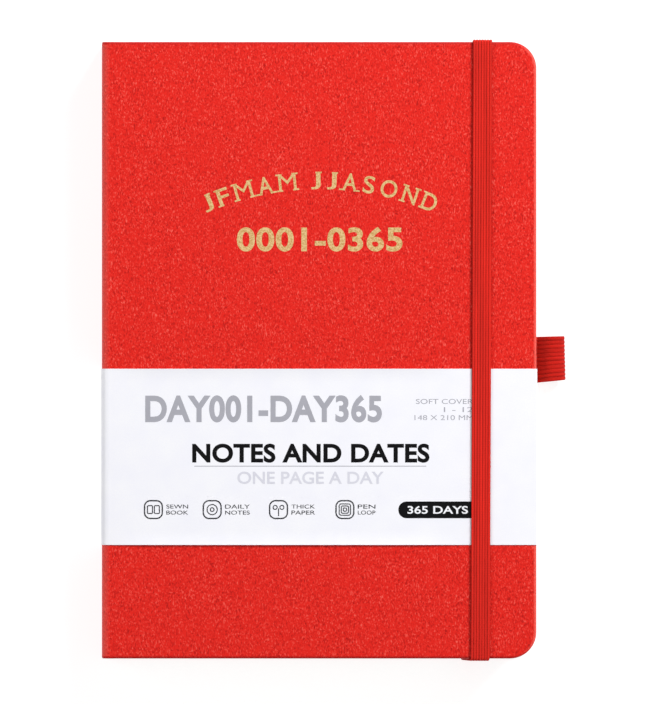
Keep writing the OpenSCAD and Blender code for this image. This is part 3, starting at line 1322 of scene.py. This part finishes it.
@dataclass
class Press:
    """Prints flat marks a hair above a face, and joins those of one ink in one piece."""

    face_z: float
    body: str
    facing: Facing = Facing.UP
    lift: float = 0.015 * MM
    sides: int = 32
    marks: dict[bpy.types.Material, list[bpy.types.Mesh]] = field(default_factory=dict)

    def put(self, mesh: bpy.types.Mesh, ink: bpy.types.Material) -> None:
        """Keeps a flat mark for the piece of its ink."""
        self.marks.setdefault(ink, []).append(mesh)

    def words(
        self,
        text: str,
        box: tuple[float, float, float, float],
        ink: bpy.types.Material,
        weight: float = 0.0,
        turn: float = 0.0,
        spacing: float = 1.0,
    ) -> None:
        """Sets a line of type to fill a box.

        Args:
            text: What is printed, in the built-in letters.
            box: Low X, low Y, high X and high Y that the line fills.
            ink: The ink's material.
            weight: How much the strokes are thickened, as a share of the type's size.
            turn: Angle that the line is turned by about its box's middle.
            spacing: Space between the letters, where 1 is the type's own.
        """
        curve = bpy.data.curves.new("type", "FONT")
        curve.body, curve.offset, curve.space_character = text, weight, spacing
        curve.resolution_u = 6
        carrier = bpy.data.objects.new("type", curve)
        bpy.context.scene.collection.objects.link(carrier)
        bpy.context.view_layer.update()
        ready = carrier.evaluated_get(bpy.context.evaluated_depsgraph_get())
        mesh = bpy.data.meshes.new_from_object(ready)
        bpy.data.objects.remove(carrier)
        bpy.data.curves.remove(curve)
        xs, ys = ([v.co[axis] for v in mesh.vertices] for axis in (0, 1))
        low, high = Vector((min(xs), min(ys), 0)), Vector((max(xs), max(ys), 0))
        wide, tall = (box[2] - box[0]) / (high.x - low.x), (box[3] - box[1]) / (high.y - low.y)
        fit = Matrix.Diagonal((wide, tall, 1, 1)) @ Matrix.Translation(-(low + high) / 2)
        spot = Matrix.Translation(((box[0] + box[2]) / 2, (box[1] + box[3]) / 2, 0))
        mesh.transform(spot @ Matrix.Rotation(turn, 4, "Z") @ fit)
        self.put(mesh, ink)

    def bar(
        self,
        box: tuple[float, float, float, float],
        ink: bpy.types.Material,
        radius: float = 0.0,
        turn: float = 0.0,
        pivot: tuple[float, float] = (0.0, 0.0),
        line: float = 0.0,
        layer: int = 0,
    ) -> None:
        """Prints an oblong.

        Args:
            box: Low X, low Y, high X and high Y of the oblong.
            ink: The ink's material.
            radius: Radius of its corners.
            turn: Angle that it is turned by.
            pivot: The point that it is turned about.
            line: Width of its outline. An oblong with no outline is full.
            layer: How many marks of its ink it lies over.
        """
        bm = outline((box[0], box[1]), (box[2], box[3]))
        if radius:
            round_off(bm, bm.verts[:], radius, 8)
        if line:
            inner = bm.faces[:]
            bmesh.ops.inset_region(
                bm, faces=inner, thickness=line, use_even_offset=True, use_boundary=True
            )
            bmesh.ops.delete(bm, geom=inner, context="FACES")
        spin = Matrix.Rotation(turn, 4, "Z")
        bmesh.ops.rotate(bm, verts=bm.verts[:], cent=(*pivot, 0), matrix=spin)
        bmesh.ops.translate(bm, verts=bm.verts[:], vec=(0, 0, layer * self.lift / 2))
        self.keep(bm, ink)

    def ring(
        self, spot: tuple[float, float], radius: float, line: float, ink: bpy.types.Material
    ) -> None:
        """Prints the outline of a circle.

        Args:
            spot: Its centre.
            radius: Its outer radius.
            line: Width of the outline.
            ink: The ink's material.
        """
        bm = bmesh.new()
        spin = Matrix.Rotation(math.pi / self.sides, 4, "Z")
        for r in (radius, radius - line):
            bmesh.ops.create_circle(bm, segments=self.sides, radius=r, matrix=spin)
        bmesh.ops.bridge_loops(bm, edges=bm.edges[:])
        bmesh.ops.translate(bm, verts=bm.verts[:], vec=(*spot, 0))
        self.keep(bm, ink)

    def keep(self, bm: bmesh.types.BMesh, ink: bpy.types.Material) -> None:
        """Turns a flat bmesh into a kept mark.

        Args:
            bm: The mark, which is freed.
            ink: The ink's material.
        """
        mesh = bpy.data.meshes.new("mark")
        bm.to_mesh(mesh)
        bm.free()
        self.put(mesh, ink)

    def build(self, name: str) -> list[bpy.types.Object]:
        """Makes one piece of all the marks of each ink, on the face.

        Args:
            name: Start of the pieces' names.

        Returns:
            The pieces, one for each ink.
        """
        up, made = self.facing is Facing.UP, []
        for number, (ink, meshes) in enumerate(self.marks.items(), 1):
            bm = bmesh.new()
            for mesh in meshes:
                bm.from_mesh(mesh)
                bpy.data.meshes.remove(mesh)
            bmesh.ops.remove_doubles(bm, verts=bm.verts[:], dist=SAME)
            for face in bm.faces:
                if (face.normal.z > 0) is not up:
                    face.normal_flip()
            for v in bm.verts:
                above = v.co.z + number * self.lift
                v.co.z = self.face_z + (above if up else -above)
            place_flat(bm)
            obj = settle(f"{name}_{number}", bm, [ink])
            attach(obj, self.body)
            made.append(obj)
        return made


@dataclass
class CoverStamp:
    """The gold stamping: the months' initials in an arch, over the days of a year.

    The letters' widths and their serifs' places are shares of the letter's own size.
    """

    layout: Layout
    palette: Palette
    months: str = "JFMAM JJASOND"
    centre_x: float = 74.2 * MM
    arch_top: float = 60.8 * MM
    arch_r: float = 102 * MM
    letter: float = 6.0 * MM
    gap: float = 0.36
    widths: dict[str, float] = field(
        default_factory=lambda: {"J": 0.55, "F": 0.66, "M": 1, "S": 0.64, " ": 0.12, "O": 0.95}
    )
    plain_width: float = 0.82
    serifs: dict[str, tuple[tuple[float, float], ...]] = field(
        default_factory=lambda: {
            "J": ((0.3, 0.5),),
            "F": ((-0.4, 0.5), (-0.4, -0.5)),
            "M": ((-0.46, 0.5), (0.46, 0.5), (-0.46, -0.5), (0.46, -0.5)),
            "A": ((-0.5, -0.5), (0.5, -0.5)),
            "N": ((-0.44, 0.5), (0.44, 0.5), (-0.44, -0.5)),
            "D": ((-0.42, 0.5), (-0.42, -0.5)),
        }
    )
    weight: float = 0.012
    serif_long: float = 2.1 * MM
    serif_thick: float = 0.55 * MM
    days: str = "0001-0365"
    days_low: float = 33.6 * MM
    days_high: float = 42.0 * MM
    days_half: float = 28.2 * MM
    days_weight: float = 0.028
    days_space: float = 1.06

    def arch(self, press: Press, x0: float) -> None:
        """Stamps the initials along the arch, with a serif at each stem's end.

        Args:
            press: The press that stamps them.
            x0: The arch's middle.
        """
        y0, half, low = self.arch_top - self.arch_r, self.letter / 2, self.serif_thick / 2
        radius, gap, gold = self.arch_r - half, self.gap * self.letter, self.palette.gold
        sizes = [self.widths.get(c, self.plain_width) * self.letter for c in self.months]
        run = -(sum(sizes) + gap * (len(sizes) - 1)) / 2
        for letter, wide in zip(self.months, sizes):
            turn = -(run + wide / 2) / radius
            run += wide + gap
            if letter == " ":
                continue
            x, y = x0 - radius * math.sin(turn), y0 + radius * math.cos(turn)
            box = (x - wide / 2, y - half, x + wide / 2, y + half)
            press.words(letter, box, gold, 0.0 if letter == "M" else self.weight, turn)
            for across, up in self.serifs.get(letter, ()):
                a, b = x + across * wide, y + up * (self.letter - 2 * low)
                long = self.serif_long / 2
                bar = (a - long, b - low, a + long, b + low)
                press.bar(bar, gold, turn=turn, pivot=(x, y), layer=1)

    def build(self) -> list[bpy.types.Object]:
        """Stamps both lines into the front cover.

        Returns:
            The stamping, in one piece.
        """
        press = Press(self.layout.front_z, "front_cover")
        x0, half = self.layout.spine_x + self.centre_x, self.days_half
        self.arch(press, x0)
        box = (x0 - half, self.days_low, x0 + half, self.days_high)
        press.words(self.days, box, self.palette.gold, self.days_weight, spacing=self.days_space)
        return press.build("gold_stamp")


@dataclass(frozen=True)
class Sign:
    """A plain outline sign with two short words beside it, in millimetres.

    Its marks are measured from its own middle. An oblong is low X, low Y, high X, high Y
    and its corners' radius, and a ring is X, Y and radius.
    """

    at: float
    words: tuple[str, str]
    wide: float
    oblongs: tuple[tuple[float, ...], ...] = ()
    rings: tuple[tuple[float, ...], ...] = ()
    stems: tuple[tuple[float, ...], ...] = ()
    half: float = 3.25
    corner: float = 2.2
    line: float = 0.45
    fine: float = 0.33
    words_at: float = 4.4
    words_top: float = 1.7
    row: float = 2.05
    high: float = 1.35

    def draw(self, press: Press, x: float, y: float, ink: bpy.types.Material) -> None:
        """Prints the sign and its words.

        Args:
            press: The press that prints them.
            x: The sign's middle, in metres.
            y: The sign's middle, in metres.
            ink: The ink's material.
        """

        def box(a: float, b: float, c: float, d: float) -> tuple[float, float, float, float]:
            """Returns a box in metres from one measured from the sign's middle."""
            return x + a * MM, y + b * MM, x + c * MM, y + d * MM

        h, fine = self.half, self.fine * MM
        press.bar(box(-h, -h, h, h), ink, self.corner * MM, line=self.line * MM)
        for a, b, c, d, radius in self.oblongs:
            press.bar(box(a, b, c, d), ink, radius * MM, line=fine)
        for a, b, c, d in self.stems:
            press.bar(box(a, b, c, d), ink)
        for a, b, radius in self.rings:
            press.ring((x + a * MM, y + b * MM), radius * MM, fine, ink)
        left = self.words_at
        for row, word in enumerate(self.words):
            top = self.words_top - self.row * row
            press.words(word, box(left, top - self.high, left + self.wide, top), ink)


SIGNS = (
    Sign(
        17.6,
        ("SEWN", "BOOK"),
        7.4,
        oblongs=((-2.2, -1.5, -0.15, 1.5, 0.5), (0.15, -1.5, 2.2, 1.5, 0.5)),
    ),
    Sign(37.6, ("DAILY", "NOTES"), 8.4, rings=((0, 0, 1.9), (0, 0, 0.8))),
    Sign(
        60.2,
        ("THICK", "PAPER"),
        8.0,
        rings=((-1.15, 0.75, 0.85), (1.15, 0.75, 0.85)),
        stems=((-0.165, -2.2, 0.165, 0.4),),
    ),
    Sign(
        82.8,
        ("PEN", "LOOP"),
        6.0,
        oblongs=(
            (-2.1, -2.1, 2.1, 2.1, 0.9),
            (-1.4, -1.4, 1.4, 1.4, 0.7),
            (-0.7, -0.7, 0.7, 0.7, 0.4),
        ),
    ),
)


@dataclass
class PaperBand:
    """The paper band: one coated sheet, creased round the spine and tucked in.

    The front's long edges curl up over the curl's reach, and less and less over its ramp
    towards the spine and the strap. The back flap has a notch for the pen loop. The print
    is placed in millimetres from the band's top left corner.
    """

    layout: Layout
    palette: Palette
    thick: float = 0.2 * MM
    crease: float = 0.45 * MM
    flap: float = 40 * MM
    notch: float = 1 * MM
    curl: float = 0.4 * MM
    curl_reach: float = 5 * MM
    curl_ramp: float = 14 * MM
    curl_cuts: int = 6
    fold_step: float = 0.35 * MM
    fold_run: float = 6 * MM
    rule: tuple[float, float, float, float] = (31.5, 33.05, 110.5, 33.3)
    pill: tuple[float, float, float, float] = (101, 45.2, 131, 50.9)
    pill_words: tuple[float, float, float, float] = (104.1, 46.7, 124.7, 49.4)
    pill_r: float = 2.8 * MM
    pill_weight: float = 0.02
    signs_y: float = 47.95 * MM

    def half(self, side: Side) -> bpy.types.Object:
        """Makes one half, from the middle of the spine to the end of its flap.

        Args:
            side: The cover that it lies on.

        Returns:
            The half, creased round the spine's corner.
        """
        lay, back = self.layout, side is Side.BACK
        low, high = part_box(f"band_{side.value}")
        out = lay.spine_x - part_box("band_spine")[0].x
        left, right, top = lay.spine_x - out, lay.fore_x + out, lay.front_z + out
        under = top - (high.z - low.z)
        points = [(left, lay.mid_z), (left, top), (right, top)]
        points += [(right, under), (lay.fore_x - self.flap, under)]
        track = Track.through(points, [lay.corner_r + out, self.crease, self.crease])
        bm = outline((0, low.y), (track.length, high.y))
        if back:
            notch_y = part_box("pen_loop")[0].y - self.notch
            notch_s = sum(leg[0] for leg in track.legs[:3])
            cut(bm, 0, [notch_s])
            cut(bm, 1, [notch_y])
            middles = {f: f.calc_center_median() for f in bm.faces}
            spare = [f for f, p in middles.items() if p.x > notch_s and p.y > notch_y]
            bmesh.ops.delete(bm, geom=spare, context="FACES")
        thicken(bm, self.thick)
        first, span = track.legs[0][0], track.legs[1][0]
        face_s, more = first + span, self.fold_run
        count = int((span + 2 * more) / self.fold_step)
        cut(bm, 0, [*spread(first - more, face_s + more, count), *track.stations()])
        strap_s = face_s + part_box("strap_loop")[0].x - left - lay.corner_r
        ramp, reach = self.curl_ramp, self.curl_reach
        if not back:
            for axis, a, b, run in ((0, face_s, strap_s, ramp), (1, low.y, high.y, reach)):
                cut(bm, axis, spread(a, a + run, self.curl_cuts))
                cut(bm, axis, spread(b - run, b, self.curl_cuts))
        place_flat(bm)

        def move(p: Vector) -> Vector:
            """Bends the sheet, and curls up the long edges of the front.

            Args:
                p: A point of the flat sheet.

            Returns:
                Its place.
            """
            edge = max(0.0, 1 - min(p.y - low.y, high.y - p.y) / reach)
            along = clamp(min(p.x - face_s, strap_s - p.x) / ramp)
            lift = 0.0 if back else self.curl * edge**2 * along
            x, z = track.bend(p.x, p.z + lift)
            return Vector((x, p.y, 2 * lay.mid_z - z if back else z))

        bend_strip(bm, move, back)
        obj = settle(f"paper_band_{side.value}", bm, [self.palette.coated])
        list(lay.corner(side))
        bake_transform(obj)
        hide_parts(f"band_{side.value}", "band_spine")
        return obj

    def print_front(self) -> list[bpy.types.Object]:
        """Prints the front panel with plain numerals, plain words and signs.

        Returns:
            The print, one piece for each ink.
        """
        inks, high = self.palette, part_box("band_front")[1]
        press = Press(high.z, "band_front")
        x, top = self.layout.spine_x, high.y

        def box(a: float, b: float, c: float, d: float) -> tuple[float, float, float, float]:
            """Returns a box in metres from one measured from the band's corner."""
            return x + a * MM, top - d * MM, x + c * MM, top - b * MM

        for text, place, ink, weight, space in (
            ("DAY001-DAY365", (14.8, 8.9, 95.4, 18.3), inks.grey, 0.033, 1.05),
            ("SOFT COVER", (107, 10.3, 126.4, 12.0), inks.grey, 0.0, 1.0),
            ("1 - 12", (116.5, 13.05, 126.4, 14.75), inks.grey, 0.0, 1.0),
            ("148 X 210 MM", (106.5, 15.8, 126.4, 17.5), inks.grey, 0.0, 1.0),
            ("NOTES AND DATES", (30.8, 25.5, 111.6, 32.0), inks.black, 0.034, 1.04),
            ("ONE PAGE A DAY", (46.2, 35.0, 96.0, 39.2), inks.pale, 0.014, 1.0),
        ):
            press.words(text, box(*place), ink, weight, spacing=space)
        press.bar(box(*self.rule), inks.grey)
        for sign in SIGNS:
            sign.draw(press, x + sign.at * MM, top - self.signs_y, inks.dim)
        press.bar(box(*self.pill), inks.black, self.pill_r)
        press.words("365 DAYS", box(*self.pill_words), inks.white, self.pill_weight)
        return press.build("band_print")

    def build(self) -> list[bpy.types.Object]:
        """Returns both halves and the print."""
        return [*map(self.half, Side), *self.print_front()]


@dataclass
class PageHeads:
    """The day numbers at the heads of the two middle pages, each over a thin rule."""

    palette: Palette
    size: float = 6 * MM
    wide: float = 1.6
    weight: float = 0.015
    inset: float = 12 * MM
    margin: tuple[float, float] = (22 * MM, 9 * MM)
    rule_gap: float = 2.5 * MM
    rule_thick: float = 0.5 * MM
    lift: float = 0.005 * MM

    def build(self) -> list[bpy.types.Object]:
        """Prints a number and a line on each of the two pages.

        Returns:
            The print, one piece for each page.
        """
        made, ink = [], self.palette.dim
        for number, node, facing, body in (
            ("182", "signature_05", Facing.DOWN, "front_leaves"),
            ("183", "signature_06", Facing.UP, "back_case"),
        ):
            low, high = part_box(node)
            up = facing is Facing.UP
            press = Press(high.z if up else low.z, body, facing, self.lift)
            top, right = high.y - self.inset, high.x - self.margin[1]
            box = (right - self.wide * self.size, top - self.size, right, top)
            press.words(number, box, ink, self.weight)
            if not up:
                mirror = Matrix.Diagonal((-1, 1, 1, 1))
                there = Matrix.Translation((box[0] + right, 0, 0))
                press.marks[ink][0].transform(there @ mirror)
            line = top - self.size - self.rule_gap
            press.bar((low.x + self.margin[0], line - self.rule_thick, right, line), ink)
            made += press.build(f"page_{number}")
        return made


# ---------------------------------------------------------------- studio


@dataclass(frozen=True)
class Lamp:
    """A square soft light that points at the planner, in metres and watts."""

    name: str
    spot: tuple[float, float, float]
    size: float
    power: float

    def hang(self) -> None:
        """Hangs the lamp in the scene."""
        data = bpy.data.lights.new(self.name, "AREA")
        data.energy, data.size = self.power, self.size
        obj = bpy.data.objects.new(self.name, data)
        obj.location = self.spot
        obj.rotation_mode = "QUATERNION"
        obj.rotation_quaternion = (-Vector(self.spot)).to_track_quat("-Z", "Y")
        bpy.context.scene.collection.objects.link(obj)


@dataclass
class Studio:
    """A white table, soft light from above and to the right, and a straight-down camera."""

    layout: Layout
    table_half: float = 6.0
    key: Lamp = Lamp("key", (0.76, 0.96, 1.0), 0.64, 23.5)
    fill: Lamp = Lamp("fill", (-1.4, 0.2, 1.4), 0.9, 8)
    daylight: float = 0.33
    view_high: float = 239.75 * MM
    distance: float = 5.0
    reach: float = 10.0
    sensor: float = 36.0
    offset: tuple[float, float] = (2.7 * MM, -0.6 * MM)

    def table(self) -> bpy.types.Object:
        """Makes the pale floor.

        Returns:
            The floor.
        """
        bm = bmesh.new()
        bmesh.ops.create_grid(bm, x_segments=2, y_segments=2, size=self.table_half)
        paper = StudioPaper("matt white studio paper", 0.9, bent=False).build()
        obj = settle("table", bm, [paper])
        obj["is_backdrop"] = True
        return obj

    def camera(self) -> None:
        """Hangs the camera straight over the cover's middle."""
        lay, scene = self.layout, bpy.context.scene
        camera = bpy.data.cameras.new("camera")
        camera.sensor_width = self.sensor
        camera.lens = self.sensor * self.distance / self.view_high
        camera.clip_end = self.reach
        obj = bpy.data.objects.new("camera", camera)
        middle = (lay.spine_x + lay.fore_x) / 2 + self.offset[0]
        obj.location = (middle, self.offset[1], lay.front_z + self.distance)
        scene.collection.objects.link(obj)
        scene.camera = obj

    def build(self) -> list[bpy.types.Object]:
        """Lights the table and hangs the camera.

        Returns:
            The table.
        """
        scene = bpy.context.scene
        scene.view_settings.view_transform = "Standard"
        world = bpy.data.worlds.new("studio")
        world.use_nodes = True
        back = world.node_tree.nodes["Background"]
        back.inputs["Color"].default_value = linear("ffffff")
        back.inputs["Strength"].default_value = self.daylight
        scene.world = world
        self.key.hang()
        self.fill.hang()
        self.camera()
        return [self.table()]


def corners(box: tuple[Vector, Vector]) -> list[list[float]]:
    """Returns a box's two corners as plain lists."""
    return [list(box[0]), list(box[1])]


def main() -> None:
    """Builds the planner and the studio, and measures its sizes before and after."""
    logging.basicConfig(level=logging.INFO, format="%(name)s: %(message)s")
    cad = corners(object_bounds())
    layout, palette = Layout(), Palette()
    makers = [
        *(Cover(layout, palette, side) for side in Side),
        PageBlock(palette),
        *(EndBand(palette, node) for node in ("headband", "tailband")),
        Strap(palette),
        PenLoop(palette),
        CoverStamp(layout, palette),
        PaperBand(layout, palette),
        PageHeads(palette),
        Studio(layout),
    ]
    for maker in makers:
        for piece in maker.build():
            faces = len(piece.data.polygons)
            LOG.info("%s made %s with %d faces", type(maker).__name__, piece.name, faces)
    bpy.context.view_layer.update()
    {"cad": cad, "visual": corners(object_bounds())}


if __name__ == "__main__":
    main()
